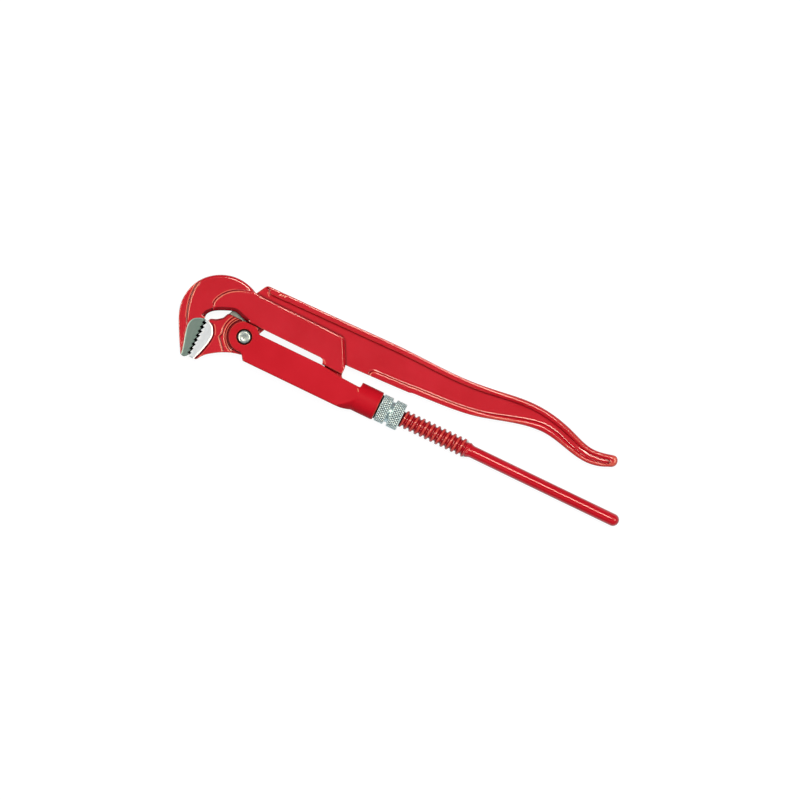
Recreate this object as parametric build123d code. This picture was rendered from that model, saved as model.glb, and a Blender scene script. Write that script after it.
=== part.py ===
from build123d import *
import os
from math import sqrt, hypot

# A pipe wrench of the Swedish pattern with jaws at 90 degrees, for pipes up to 1 1/2 inch.
# Construction frame, in mm: the pivot pin is the origin, X runs along the spindle towards the
# end of its rod, Y runs up to the lever handle, and Z is the thickness, even about Z = 0.
# At the end everything is set down on Z = 0 with the middle of its outline at the origin.

# ---- driving sizes -------------------------------------------------------------------------
# Spindle
AXIS_DROP = 3.8            # the spindle axis lies this far below the pivot
THREAD_RADIUS = 8.0        # crest radius
THREAD_ROOT = 5.9          # root radius
PITCH = 5.0
CREST_WIDTH = 0.9          # width of the thread at its crest
FLANK_WIDTH = 2.5          # width of the thread at its root
THREAD_SUNK = 0.25         # how far the ridge of the thread reaches into its core
THREAD_START = 122.0
THREAD_END = 216.5
SHANK_RADIUS = 5.5         # plain shank between the front head and the thread
ROD_RADIUS = 5.4
ROD_TIP = 362.5            # the round end of the rod handle
ROD_FLAT = 0.5             # radius of the small flat in the middle of that end
RUN_OUT = 4.0              # the cone from thread to rod
FORK_HEAD_START = 72.6     # front head of the spindle, slotted for the hook's tongue
FORK_HEAD_LENGTH = 22.4
HEAD_PIN_RADIUS = 2.5
HEAD_PIN_X = 83.0
STOP_PIN_RADIUS = 1.2
STOP_PIN_X = 214.7
STOP_PIN_LENGTH = 15.4
STOP_PIN_LEAN = 9.5        # degrees, so that it lies in the thread groove on both sides

# Housing
HOUSING_HALF = 13.0        # half of its thickness
HOUSING_BOTTOM = 19.3      # how far its straight lower edge lies below the pivot
HOUSING_EDGE = 1.3         # rounding of its long edges
EAR_RADIUS = 13.7
EAR_TOP = 12.4             # flat on top of the ears
EAR_INSIDE = 6.6           # half of the slot between the ears
EAR_SLOT_RADIUS = 17.2
EAR_FLAT_END = 7.0
WALL_TOP = 7.5             # height of the channel walls that the foot of the hook runs over
WALL_TOP_BACK = 4.2        # at the sleeve
WALL_BEND = 71.0           # here the walls begin to fall towards the sleeve
WALL_LOW = 91.0
SLEEVE_START = 110.3
SLEEVE_LENGTH = 20.3
SLEEVE_RADIUS = 13.0
SLEEVE_CHAMFER = 0.7
NOSE_LENGTH = 14.3         # the cone that leads the block into the sleeve
CHANNEL_START = 14.0
CHANNEL_END = 106.5
THREAD_ROOM = 0.3          # between the thread's crest and the bore

# Pivot
PIN_RADIUS = 5.0
PIN_HEAD_RADIUS = 5.9
PIN_HEAD_HEIGHT = 1.9
PIN_CHAMFER = 1.2
RECESS_RADIUS = 6.9
RECESS_DEPTH = 2.1
PIN_RUN = 0.05             # running room of the lever on the pin

# Hook jaw
HEAD_HALF = 7.6            # half of the head's thickness
CHEEK_HALF = 8.7           # half of the thickness over the raised cheeks
NOSE_HALF = 6.4            # half of the thickness at the lower band on its back
GAP_HALF = 3.1             # half of the slot between the cheeks, where the lever passes
CHEEK_TOP = 37.9
CHEEK_BOTTOM = 13.1
FOOT_LEFT = 71.0
FOOT_RIGHT = 90.3
FOOT_TOP = 15.0            # top of the solid foot between the cheeks
FOOT_SEAT = 0.3            # room between the foot and the housing walls
BACK_ROUND = 2.4           # rounding of the long edges of the back
HEEL_INSET = 2.3           # the slope on the heel of the cheeks, across
HEEL_DEPTH = 3.6           # and in thickness
TONGUE_HALF = 4.0
TONGUE_DROP = 5.6          # how far the tongue reaches below the spindle axis

# Teeth of both jaws
TOOTH_PITCH = 4.17
TOOTH_COUNT = 8
HOOK_TIPS = 37.1           # distance of the hook's tooth tips from the pivot, along X
HOOK_TOOTH = 1.9           # depth
HOOK_FIRST = 4.7           # first notch, below the pivot
JAW_GAP = 0.35             # between the two rows of tips when the wrench is closed
JAW_TOOTH_TOP = 2.5        # depth of the lower jaw's teeth at the throat
JAW_TOOTH_END = 1.5        # and at the tip
JAW_FIRST = 3.1
PAD_DEPTH = 0.6            # ground sides of the jaws lie this deep

# Lever
JAW_HALF = 8.8
JAW_BOTTOM = 36.2
WEB_HALF = 2.8             # the blade between the cheeks, and the web of the handle
FLANGE_HALF = 6.0          # half of the handle's thickness
BOSS_HALF = 6.4
BOSS_RADIUS = 12.4
JAW_TOP = 11.8
BLADE_BOTTOM = 15.8
STEP_RADII = (15.5, 17.3, 20.3)   # rings round the ears, each one higher than the last

# Adjusting nut
WASHER_RADIUS = 11.0
WASHER_THICKNESS = 1.2
FACE_ROOM = 0.05           # between the sleeve, the washer and the nut
NUT_RADIUS = 12.4
NUT_COLLAR = 8.9
NUT_GROOVE = 2.8
NUT_BACK_COLLAR = 9.7
NUT_CORE = 9.5
NUT_CHAMFER = 1.0
NUT_ROOM = 0.25            # all round the thread in the nut

AXIS = -AXIS_DROP
SLEEVE_END = SLEEVE_START + SLEEVE_LENGTH
BORE = THREAD_RADIUS + THREAD_ROOM


def slab(face, half):
    """A flat outline thickened evenly to both sides of Z = 0."""
    return extrude(face, half, both=True)


def along_x(radius, start, length):
    """A round bar on the spindle axis."""
    return Pos(start + length / 2, AXIS, 0) * Rot(0, 90, 0) * Cylinder(radius, length)


def both_sides(face, inner, outer):
    """The same outline as two layers, one on each side, between two heights."""
    layer = Pos(0, 0, inner) * extrude(face, outer - inner)
    return layer + mirror(layer, about=Plane.XY)


def outline(*edges):
    return make_face(Wire(edges))


def poly(*points):
    return make_face(Polyline(*points, close=True))


def rims(shape, half, near=None):
    """Edges that lie flat at the given half thickness, all or those that pass a test."""
    flat = [e for e in shape.edges() if abs(abs((e @ 0).Z) - half) < 0.01
            and abs(abs((e @ 1).Z) - half) < 0.01 and abs(abs((e @ 0.5).Z) - half) < 0.01]
    return [e for e in flat if near is None or near(e)]


# ---- housing -------------------------------------------------------------------------------
def housing_profile():
    left = sqrt(EAR_RADIUS**2 - EAR_TOP**2)
    low = (2.4, -sqrt(EAR_RADIUS**2 - 2.4**2))
    back_low = (SLEEVE_START, AXIS - SLEEVE_RADIUS + 0.2)
    belly_middle = (SLEEVE_START - 5.8, 0.85 - HOUSING_BOTTOM)
    belly_start = (SLEEVE_START - 12.8, -HOUSING_BOTTOM)
    front = Polyline(
        (-left, EAR_TOP), (EAR_FLAT_END, EAR_TOP), (EAR_FLAT_END + 3.6, WALL_TOP),
        (WALL_BEND, WALL_TOP), (WALL_LOW, WALL_TOP_BACK + 0.8), (SLEEVE_START, WALL_TOP_BACK),
        back_low)
    belly = ThreePointArc(back_low, belly_middle, belly_start)
    step = Polyline(belly_start, (7.6, -HOUSING_BOTTOM), (4.7, 4.3 - HOUSING_BOTTOM), low)
    ear = ThreePointArc(low, (-EAR_RADIUS, 0), (-left, EAR_TOP))
    return outline(*front.edges(), belly, *step.edges(), ear)


def housing():
    block = slab(housing_profile(), HOUSING_HALF)
    rims = [e for e in block.edges() if abs(abs(e.center().Z) - HOUSING_HALF) < 0.01]
    block = fillet(rims, HOUSING_EDGE)
    corner = hypot(HOUSING_HALF, HOUSING_BOTTOM - AXIS_DROP)
    nose = Pos(SLEEVE_START - NOSE_LENGTH / 2, AXIS, 0) * Rot(0, 90, 0) * Cone(
        corner, SLEEVE_RADIUS, NOSE_LENGTH)
    room = Pos(SLEEVE_START - NOSE_LENGTH - 100, 0, 0) * Box(200, 200, 200)
    block = block & (room + nose)
    sleeve = along_x(SLEEVE_RADIUS, SLEEVE_START - 0.5, SLEEVE_LENGTH + 0.5)
    ends = [e for e in sleeve.edges() if e.center().X > SLEEVE_START]
    block = block + chamfer(ends, SLEEVE_CHAMFER)
    block -= along_x(BORE, CHANNEL_START, SLEEVE_END - CHANNEL_START + 1)
    channel_height = EAR_TOP - AXIS
    block -= Pos((CHANNEL_START + CHANNEL_END) / 2, AXIS + channel_height / 2, 0) * Box(
        CHANNEL_END - CHANNEL_START, channel_height, 2 * BORE)
    block -= Cylinder(EAR_SLOT_RADIUS, 2 * EAR_INSIDE)
    block -= Pos(CHANNEL_START / 2, EAR_TOP, 0) * Box(CHANNEL_START, 2 * EAR_TOP, 2 * EAR_INSIDE)
    block -= Cylinder(PIN_RADIUS, 4 * HOUSING_HALF)
    for side in (1, -1):
        block -= Pos(0, 0, side * HOUSING_HALF) * Cylinder(RECESS_RADIUS, 2 * RECESS_DEPTH)
    return block


def pivot_pin():
    """Peened over into the recess of both ears."""
    half = HOUSING_HALF - RECESS_DEPTH
    pin = Cylinder(PIN_RADIUS, 2 * half)
    for side in (1, -1):
        head = Cylinder(PIN_HEAD_RADIUS, PIN_HEAD_HEIGHT)
        head = chamfer(head.edges().group_by(Axis.Z)[-1], PIN_CHAMFER)
        pin += Rot(0 if side > 0 else 180, 0, 0) * Pos(0, 0, half + PIN_HEAD_HEIGHT / 2) * head
    return pin


# ---- hook jaw ------------------------------------------------------------------------------
def from_tips(*points):
    """Points of the head and the jaws, with x measured from the hook's tooth tips."""
    return [(x - HOOK_TIPS, y) for x, y in points]


def hook_teeth():
    """Points down the hook's tooth row: each tooth is flat above and slopes below."""
    points = []
    for i in range(TOOTH_COUNT):
        y = -HOOK_FIRST - i * TOOTH_PITCH
        points.append((-HOOK_TIPS - HOOK_TOOTH, y))
        points.append((-HOOK_TIPS, y - 0.4))
    return points


def hook_profile():
    teeth = hook_teeth()
    end = teeth[-1][1] - 2.0
    first, top, bottom, round_tip, back_start = from_tips(
        (-0.6, -0.9), (0, -1.6), (-0.9, end), (-4.9, end - 1.7), (-7.8, end + 1))
    throat = from_tips((13.1, 13.9), (5.1, 10.0), (-0.1, 5.4), (-1.3, 2.4))
    roof = Spline((-4, CHEEK_BOTTOM), (-9, 14.3), (-16.5, 16.2), *throat, first,
                  tangents=((-1, 0), (0.35, -1)))
    row = Polyline(first, top, *teeth, bottom)
    tip = ThreePointArc(bottom, round_tip, back_start)
    bow = from_tips((-14.2, -24), (-20.5, -12), (-24.8, -0.5), (-24.8, 14.5), (-19.2, 27.8),
                    (-9.1, 37.4), (3.6, 42.7))
    back = Spline(back_start, *bow, (-20.5, 43.1), (-7.4, 38.6), tangents=((-0.52, 0.86), (0.86, -0.5)))
    shank = Polyline((-7.4, 38.6), (0, CHEEK_TOP), (76.5, CHEEK_TOP - 0.9))
    corner = ThreePointArc((76.5, CHEEK_TOP - 0.9), (78.6, CHEEK_TOP - 1.6), (80.2, CHEEK_TOP - 3.5))
    foot_y = WALL_TOP + FOOT_SEAT
    heel = Polyline((80.2, CHEEK_TOP - 3.5), (FOOT_RIGHT - 1, 17.5), (FOOT_RIGHT, 13.5),
                    (FOOT_RIGHT, foot_y), (FOOT_LEFT, foot_y), (FOOT_LEFT - 0.4, 9.6))
    under = ThreePointArc((FOOT_LEFT - 0.4, 9.6), (FOOT_LEFT - 1.5, CHEEK_BOTTOM - 1.3),
                          (FOOT_LEFT - 4.5, CHEEK_BOTTOM - 0.4))
    sole = Line((FOOT_LEFT - 4.5, CHEEK_BOTTOM - 0.4), (-4, CHEEK_BOTTOM))
    return outline(roof, *row.edges(), tip, back, *shank.edges(), corner, *heel.edges(), under, sole)


def cheek_region():
    """Everything to the right of the curved step between the head and the raised cheeks."""
    low, *rise = from_tips((2.7, 8), (0.9, 17), (6.1, 26.8))
    step = Spline(low, *rise, (-22, 33.7), (-11, 37.9), (-2, 46), tangents=((-0.4, 1), (1, 0.9)))
    rest = Polyline((-2, 46), (110, 46), (110, 0), (low[0], 0), low)
    return outline(step, *rest.edges())


def nose_region():
    """The lower band along the back, between the crease and the outside."""
    line = from_tips((-13.4, 35), (-17.3, 24), (-17.2, 11), (-15.2, 0), (-12.2, -13), (-10.1, -27),
                     (-9.4, -37))
    rest = Polyline(line[-1], *from_tips((-38, -37), (-38, 35)), line[0])
    return outline(Spline(*line), *rest.edges())


def hook_pad():
    """Outline of the ground side of the hook's tooth block."""
    arch = from_tips((1.1, -0.2), (-4.9, -1.8), (-10.1, -5.4), (-11.8, -11.5), (-10.1, -20.5),
                     (-7.5, -30), (-5.5, -40))
    rest = Polyline(arch[-1], *from_tips((7, -40), (7, -0.2)), arch[0])
    return outline(Spline(*arch), *rest.edges())


def lever_slot():
    """The slot between the cheeks, with its root clear of the lever when that swings open."""
    return poly((-22.2, 5), (-22.2, 15.5), (-20.6, 24), (-17, 33), (-12.5, 60), (110, 60),
                (110, FOOT_TOP), (FOOT_LEFT + 1.5, FOOT_TOP), (FOOT_LEFT + 1.5, 5))


def tongue_profile():
    right = FOOT_RIGHT + 1.9
    flare = ThreePointArc((FOOT_RIGHT, WALL_TOP + 3), (FOOT_RIGHT + 0.7, 6.2), (right, 4.9))
    rest = Polyline((right, 4.9), (right, AXIS - TONGUE_DROP + 2), (right - 2, AXIS - TONGUE_DROP),
                    (FOOT_LEFT + 5, AXIS - TONGUE_DROP), (FOOT_LEFT + 3, AXIS - TONGUE_DROP + 2),
                    (FOOT_LEFT + 3, FOOT_TOP - 1), (FOOT_RIGHT, FOOT_TOP - 1),
                    (FOOT_RIGHT, WALL_TOP + 3))
    return outline(flare, *rest.edges())


def heel_slope(top, low):
    """The wedges that slope the heel of both cheeks, along the line from top to low."""
    run = (Vector(*low) - Vector(*top)).normalized()
    section = Plane(origin=top, x_dir=(-run.Y, run.X), z_dir=(run.X, run.Y))
    grade = HEEL_DEPTH / HEEL_INSET
    wedge = section * poly(
        (-HEEL_INSET - 1, CHEEK_HALF + grade), (2, CHEEK_HALF - HEEL_DEPTH - 2 * grade),
        (2, CHEEK_HALF + 3), (-HEEL_INSET - 1, CHEEK_HALF + 3))
    length = (Vector(*low) - Vector(*top)).length
    wedge = extrude(wedge, length + 3, dir=run) + extrude(wedge, -3, dir=run)
    return wedge + mirror(wedge, about=Plane.XY)


def hook_jaw():
    profile = hook_profile()
    head = slab(profile, HEAD_HALF)
    long_edges = rims(head, HEAD_HALF, lambda e: e.length > 90 and (e @ 0.5).X < -50)
    head = fillet(long_edges, BACK_ROUND)
    head -= both_sides(nose_region(), NOSE_HALF, HEAD_HALF + 1)
    head -= both_sides(hook_pad(), HEAD_HALF - PAD_DEPTH, HEAD_HALF + 1)
    cheeks = both_sides(profile & cheek_region(), HEAD_HALF - 0.5, CHEEK_HALF)
    hook = head + cheeks - heel_slope((80.2, CHEEK_TOP - 3.5), (FOOT_RIGHT - 1, 17.5))
    hook -= slab(lever_slot(), GAP_HALF)
    hook += slab(tongue_profile(), TONGUE_HALF)
    hook -= Pos(HEAD_PIN_X, AXIS, 0) * Cylinder(HEAD_PIN_RADIUS, 3 * TONGUE_HALF)
    return hook


# ---- spindle -------------------------------------------------------------------------------
def thread_ridge(length, root, crest, root_width, crest_width):
    """One right-hand helical ridge along X from the origin, sunk a little into its root."""
    path = Helix(PITCH, length, root)
    inside = root - THREAD_SUNK
    face = Plane.XZ * poly((inside, -root_width / 2), (crest, -crest_width / 2),
                           (crest, crest_width / 2), (inside, root_width / 2))
    return Rot(0, 90, 0) * sweep(face, path=path, is_frenet=True)


def left_handed(piece):
    """Mirrors a threaded piece about mid thickness: all but its thread is even about it."""
    return mirror(piece, about=Plane.XY)


def rod_handle():
    """The smooth rod behind the thread, with a round end."""
    start = THREAD_END + RUN_OUT
    round_start = ROD_TIP - ROD_RADIUS
    flat = (ROD_TIP, AXIS + ROD_FLAT)
    edge = Polyline(flat, (ROD_TIP, AXIS), (start, AXIS), (start, AXIS + ROD_RADIUS),
                    (round_start, AXIS + ROD_RADIUS))
    end = ThreePointArc((round_start, AXIS + ROD_RADIUS), (ROD_TIP - 0.31 * ROD_RADIUS,
                        AXIS + 0.735 * ROD_RADIUS), flat)
    return revolve(outline(*edge.edges(), end), Axis((0, AXIS, 0), (1, 0, 0)))


def spindle():
    bar = along_x(BORE - THREAD_ROOM, FORK_HEAD_START, FORK_HEAD_LENGTH)
    bar = chamfer(bar.edges().group_by(Axis.X)[-1], 2.0)
    bar -= Pos(FORK_HEAD_START + (FORK_HEAD_LENGTH - 2.6) / 2 - 1, AXIS, 0) * Box(
        FORK_HEAD_LENGTH - 2.6 + 2, 4 * BORE, 2 * TONGUE_HALF + 0.4)
    bar -= Pos(HEAD_PIN_X, AXIS, 0) * Cylinder(HEAD_PIN_RADIUS, 4 * BORE)
    head_end = FORK_HEAD_START + FORK_HEAD_LENGTH
    bar += along_x(SHANK_RADIUS, head_end - 1, THREAD_START - head_end + 2)
    bar += along_x(THREAD_ROOT, THREAD_START, THREAD_END - THREAD_START)
    bar += Pos(THREAD_END + RUN_OUT / 2, AXIS, 0) * Rot(0, 90, 0) * Cone(
        THREAD_RADIUS - 0.6, ROD_RADIUS, RUN_OUT)
    bar += rod_handle()
    bar += Pos(THREAD_START, AXIS, 0) * thread_ridge(
        THREAD_END - THREAD_START, THREAD_ROOT, THREAD_RADIUS, FLANK_WIDTH, CREST_WIDTH)
    bar -= stop_pin()
    return left_handed(bar)


def head_pin():
    """Cross pin that holds the hook's tongue in the head of the spindle."""
    return Pos(HEAD_PIN_X, AXIS, 0) * Cylinder(HEAD_PIN_RADIUS, 2 * (THREAD_RADIUS - 0.6))


def stop_pin():
    """Driven across the end of the thread, so that the nut can't run off."""
    return Pos(STOP_PIN_X, AXIS, 0) * Rot(90, 0, 0) * Rot(0, STOP_PIN_LEAN, 0) * Cylinder(
        STOP_PIN_RADIUS, STOP_PIN_LENGTH)


# ---- lever ---------------------------------------------------------------------------------
def lever_top():
    """Upper edge of the handle, from its front corner to the upturned end."""
    return Spline((1.5, 49.0), (30, 49.4), (80, 50.3), (130, 51.2), (195, 51.0), (222, 54.2),
                  (249, 57.3), (271, 55.8), (295, 49.3), (315, 43.9), (334.8, 47.4),
                  tangents=((1, 0), (1, 0.28)))


def lever_bottom():
    """Lower edge of the handle, from its end back to the blade between the cheeks."""
    return Spline((334.2, 36.3), (315, 31.0), (297, 33.3), (271, 38.3), (246, 35.2), (216, 26.7),
                  (180, 21.4), (140, 18.6), (93, 16.2), tangents=((-1, -0.55), (-1, -0.04)))


def lever_outline():
    tail = ThreePointArc((334.8, 47.4), (338.9, 43.0), (334.2, 36.3))
    back = Polyline((93, 16.2), (BLADE_BOTTOM - 1.5, BLADE_BOTTOM), (9, 5), (0, 0),
                    (-21.6, JAW_TOP - 1.5), (-19.6, 15.4), (-15.5, 24), (-7.2, 38.7), (-2.6, 47))
    corner = ThreePointArc((-2.6, 47), (-1.0, 48.5), (1.5, 49.0))
    return outline(lever_top(), tail, lever_bottom(), *back.edges(), corner)


def lever_pocket():
    """The web lies this far inside the flanges; in front it runs out under the cheeks."""
    upper = Spline((6.5, 43.4), (40, 44.2), (90, 45.1), (140, 45.9), (195, 46.1), (222, 49.4),
                   (249, 52.2), (271, 50.4), (295, 43.9), (312, 39.6), (331, 41.8),
                   tangents=((1, 0), (1, 0.3)))
    lower = Spline((331.6, 37.9), (314, 35.0), (297, 37.9), (271, 44.3), (252, 41.6), (222, 32.6),
                   (190, 27.1), (150, 24.5), (117, 22.4), tangents=((-1, -0.35), (-1, -0.05)))
    end = ThreePointArc((331, 41.8), (333.2, 40.2), (331.6, 37.9))
    start = ThreePointArc((117, 22.4), (113.2, 21.2), (111.6, 18.0))
    front = Polyline((111.6, 18.0), (111.0, 5), (-30, 5), (-30, 38), (-1, 47.8), (1.4, 47.4),
                     (3.2, 44.4))
    nose = ThreePointArc((3.2, 44.4), (4.5, 43.6), (6.5, 43.4))
    return outline(upper, end, lower, start, *front.edges(), nose)


def jaw_teeth():
    """Points up the lower jaw's tooth row: each tooth is flat below and slopes above."""
    points = []
    for i in reversed(range(TOOTH_COUNT)):
        y = -JAW_FIRST - i * TOOTH_PITCH
        depth = JAW_TOOTH_TOP + (JAW_TOOTH_END - JAW_TOOTH_TOP) * i / (TOOTH_COUNT - 1)
        points.append((JAW_GAP - HOOK_TIPS + depth, y))
        points.append((JAW_GAP - HOOK_TIPS, y + 0.4))
    return points


def jaw_profile():
    start, shelf, end, corner, sole, tooth = from_tips(
        (2.95, -0.3), (3.9, 1.5), (8.7, -34.6), (7.5, 0.4 - JAW_BOTTOM), (5.1, -JAW_BOTTOM),
        (JAW_GAP, -JAW_BOTTOM))
    top = Spline(start, shelf, (-29, 3.2), (-24.6, 6.4), (-21.6, JAW_TOP), tangents=((0, 1), (0.45, 1)))
    neck = Polyline((-21.6, JAW_TOP), (-9, JAW_TOP), (0, 0), (4.6, -15.2))
    low = Spline((4.6, -15.2), (-4, -17.2), (-12, -20.6), (-20, -25.6), end,
                 tangents=((-1, -0.15), (-0.5, -1)))
    tip = Polyline(end, corner, sole, tooth, *jaw_teeth(), start)
    return outline(top, *neck.edges(), low, *tip.edges())


def jaw_pad():
    """Outline of the ground side of the lower jaw's tooth block."""
    arch = from_tips((3.5, -1.0), (8.5, -4.5), (11.4, -11.5), (10.1, -22), (5.5, -37))
    rest = Polyline(arch[-1], *from_tips((-8, -37), (-8, -1.0)), arch[0])
    return outline(Spline(*arch, tangents=((1, -0.2), (-0.3, -1))), *rest.edges())


def lever():
    shape = lever_outline()
    handle = slab(shape, FLANGE_HALF) - both_sides(lever_pocket(), WEB_HALF, FLANGE_HALF + 1)
    jaw = slab(jaw_profile(), JAW_HALF)
    step = (JAW_HALF - BOSS_HALF) / len(STEP_RADII)
    for i, radius in enumerate(STEP_RADII):
        jaw -= both_sides(make_face(Circle(radius).edges()), BOSS_HALF + i * step, JAW_HALF + 1)
    shoulder = poly((0, -5), (-19.4, -6), (-20.6, -9.4), (-8, -23.5), (20, -30))
    jaw -= both_sides(shoulder, JAW_HALF - step, JAW_HALF + 1)
    jaw -= both_sides(jaw_pad(), JAW_HALF - PAD_DEPTH, JAW_HALF + 1)
    jaw -= both_sides(poly((-9, 0), (20, 0), (20, -30), (-5.5, -30), (-5.5, -14)), BOSS_HALF, 20)
    body = handle + jaw + Cylinder(BOSS_RADIUS, 2 * BOSS_HALF)
    return body - Cylinder(PIN_RADIUS + PIN_RUN, 3 * JAW_HALF)


# ---- adjusting nut -------------------------------------------------------------------------
def thrust_washer():
    start = SLEEVE_END + FACE_ROOM
    return along_x(WASHER_RADIUS, start, WASHER_THICKNESS) - along_x(BORE, start - 1, 4)


def nut_tap(length):
    """What the nut's threaded bore takes away: a round core with the groove's ridge round it."""
    core = Pos(length / 2, 0, 0) * Rot(0, 90, 0) * Cylinder(THREAD_ROOT + NUT_ROOM, length + 4)
    return core + thread_ridge(
        length, THREAD_ROOT + NUT_ROOM, THREAD_RADIUS + NUT_ROOM, FLANK_WIDTH + 2.4 * NUT_ROOM,
        CREST_WIDTH + 2.4 * NUT_ROOM)


def adjusting_nut():
    """Made along X from the origin, then turned so that its thread meets the spindle's."""
    start = SLEEVE_END + 2 * FACE_ROOM + WASHER_THICKNESS
    length = NUT_COLLAR + NUT_GROOVE + NUT_BACK_COLLAR
    nut = Pos(length / 2, 0, 0) * Rot(0, 90, 0) * Cylinder(NUT_CORE, length - 2)
    for left, width in ((0, NUT_COLLAR), (NUT_COLLAR + NUT_GROOVE, NUT_BACK_COLLAR)):
        collar = Pos(left + width / 2, 0, 0) * Rot(0, 90, 0) * Cylinder(NUT_RADIUS, width)
        nut += chamfer(collar.edges().filter_by(GeomType.CIRCLE), NUT_CHAMFER)
    lead = 1.5 * PITCH
    nut -= Pos(-lead, 0, 0) * nut_tap(length + 2 * lead)
    turn = 360 * (start - lead - THREAD_START) / PITCH
    return left_handed(Pos(start, AXIS, 0) * Rot(turn, 0, 0) * nut)


PIECES = (housing, pivot_pin, thrust_washer, hook_jaw, spindle, head_pin, stop_pin, adjusting_nut,
          lever)

if __name__ == "__main__":
    os.makedirs("parts", exist_ok=True)
    shapes = {make.__name__: make() for make in PIECES}
    boxes = [shape.bounding_box() for shape in shapes.values()]
    low = [min(getattr(box.min, axis) for box in boxes) for axis in "XYZ"]
    high = [max(getattr(box.max, axis) for box in boxes) for axis in "XYZ"]
    place = Pos(-(low[0] + high[0]) / 2, -(low[1] + high[1]) / 2, -low[2])
    print("pivot at", [round(v, 4) for v in tuple(place.position)])
    for name, shape in shapes.items():
        export_step(place * shape, f"parts/{name}.step")
        print(name, len(shape.solids()), "solid,", round(shape.volume / 1000, 2), "cm3")
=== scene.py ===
# %% [markdown]
# # A Swedish pattern pipe wrench
# The wrench has two levers of forged steel. One carries the lower jaw and swings on a pin in
# the ears of a housing. The other is a screw that slides through the housing, with a hook jaw
# on its front. A knurled nut on the screw opens and closes the jaws. The solids of these pieces
# come as a fixed frame, already in their real places and sizes. This lesson gives them the
# soft edges of forgings, the crisp teeth, knurl and thread, and the finishes of the real tool.

# %% Load the fixed frame
import math
from contextlib import contextmanager
from functools import partial
import bpy
import bmesh
import numpy as np
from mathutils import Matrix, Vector
from mathutils.kdtree import KDTree


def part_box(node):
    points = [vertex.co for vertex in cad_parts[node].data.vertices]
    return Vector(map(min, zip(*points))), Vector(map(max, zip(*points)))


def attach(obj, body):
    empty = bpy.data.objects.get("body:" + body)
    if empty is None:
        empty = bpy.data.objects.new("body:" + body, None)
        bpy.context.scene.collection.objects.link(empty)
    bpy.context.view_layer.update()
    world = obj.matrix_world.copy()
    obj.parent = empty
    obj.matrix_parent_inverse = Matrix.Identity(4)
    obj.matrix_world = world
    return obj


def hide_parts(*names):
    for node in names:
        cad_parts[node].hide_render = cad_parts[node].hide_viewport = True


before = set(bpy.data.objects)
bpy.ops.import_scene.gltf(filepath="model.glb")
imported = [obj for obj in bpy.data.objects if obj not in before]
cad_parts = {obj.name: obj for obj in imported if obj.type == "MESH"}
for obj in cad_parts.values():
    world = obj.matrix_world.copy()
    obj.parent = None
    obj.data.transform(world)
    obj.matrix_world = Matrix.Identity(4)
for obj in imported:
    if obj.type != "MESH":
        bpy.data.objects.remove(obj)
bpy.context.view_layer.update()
scene = bpy.context.scene
print("nodes:", ", ".join(sorted(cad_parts)))

# %% [markdown]
# Every size in this lesson is in millimetres and is measured from the pivot pin, because that is
# how a maker would mark out a wrench: x along the screw, y up to the lever, z through the
# thickness. One function turns such a place into metres in the frame.

# %% Millimetres from the pivot pin
MM = 0.001
PIVOT = (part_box("pivot_pin")[0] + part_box("pivot_pin")[1]) / 2
NUT_LOW, NUT_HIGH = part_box("adjusting_nut")
AXIS_Y = ((NUT_LOW.y + NUT_HIGH.y) / 2 - PIVOT.y) / MM


def place(points):
    """Rows of x, y, z in mm from the pivot become metres in the frame."""
    return np.asarray(points, float) * MM + np.array(PIVOT)


def from_pivot(points):
    """Rows of metres in the frame become mm from the pivot."""
    return (np.asarray(points, float) - np.array(PIVOT)) / MM


print("pivot at", [round(v, 4) for v in PIVOT], "screw axis at y", round(AXIS_Y, 2), "mm")

# %% [markdown]
# A node-based material or mesh is built from many small boxes with wires between them. One small
# function adds a box, sets its settings and joins its wires, so that each finish below can be
# read as a short list. Colours are written as the hex values that a paint chart would give, and
# one function turns them to the linear light that the renderer works in.

# %% Helpers for node trees and colours
def feed(tree, node, inputs):
    """Sets inputs, named or numbered, to a value or to another node's output."""
    for name, value in inputs.items():
        if isinstance(value, bpy.types.NodeSocket):
            tree.links.new(value, node.inputs[name])
        else:
            node.inputs[name].default_value = value


def add(tree, kind, inputs=None, **settings):
    """Adds one node with these settings and inputs."""
    made = tree.nodes.new(kind)
    for name, value in settings.items():
        setattr(made, name, value)
    feed(tree, made, inputs or {})
    return made


def colour(hex_code):
    """An sRGB hex value as linear red, green, blue and alpha."""
    channels = [int(hex_code[i:i + 2], 16) / 255 for i in (1, 3, 5)]
    linear = [c / 12.92 if c <= 0.04045 else ((c + 0.055) / 1.055) ** 2.4 for c in channels]
    return (*linear, 1)


def mix(tree, share, low, high):
    """Blends two colours, each a hex code or an output, by a share from 0 to 1."""
    low, high = [colour(end) if isinstance(end, str) else end for end in (low, high)]
    return add(tree, "ShaderNodeMix", {0: share, 6: low, 7: high}, data_type="RGBA").outputs[2]


def span(tree, value, low, high, to_low=0.0, to_high=1.0, **settings):
    """Maps a value from one range to another, and stops at its ends."""
    inputs = {0: value, 1: low, 2: high, 3: to_low, 4: to_high}
    return add(tree, "ShaderNodeMapRange", inputs, **settings).outputs[0]


def calc(tree, operation, a, b=0.0, c=0.0):
    """One sum, product or other rule of numbers."""
    return add(tree, "ShaderNodeMath", {0: a, 1: b, 2: c}, operation=operation).outputs[0]


def noise(tree, where, size_mm, detail=2.0, rough=0.5):
    """Cloudy noise whose blobs are about size_mm across."""
    made = add(tree, "ShaderNodeTexNoise", {"Vector": where, "Scale": 1 / (size_mm * MM),
                                            "Detail": detail, "Roughness": rough})
    return made.outputs["Fac"]


def attribute(tree, name):
    """A number that the mesh keeps on its points, or 0 where it has none by that name."""
    return add(tree, "ShaderNodeAttribute", attribute_name=name).outputs["Fac"]


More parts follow.
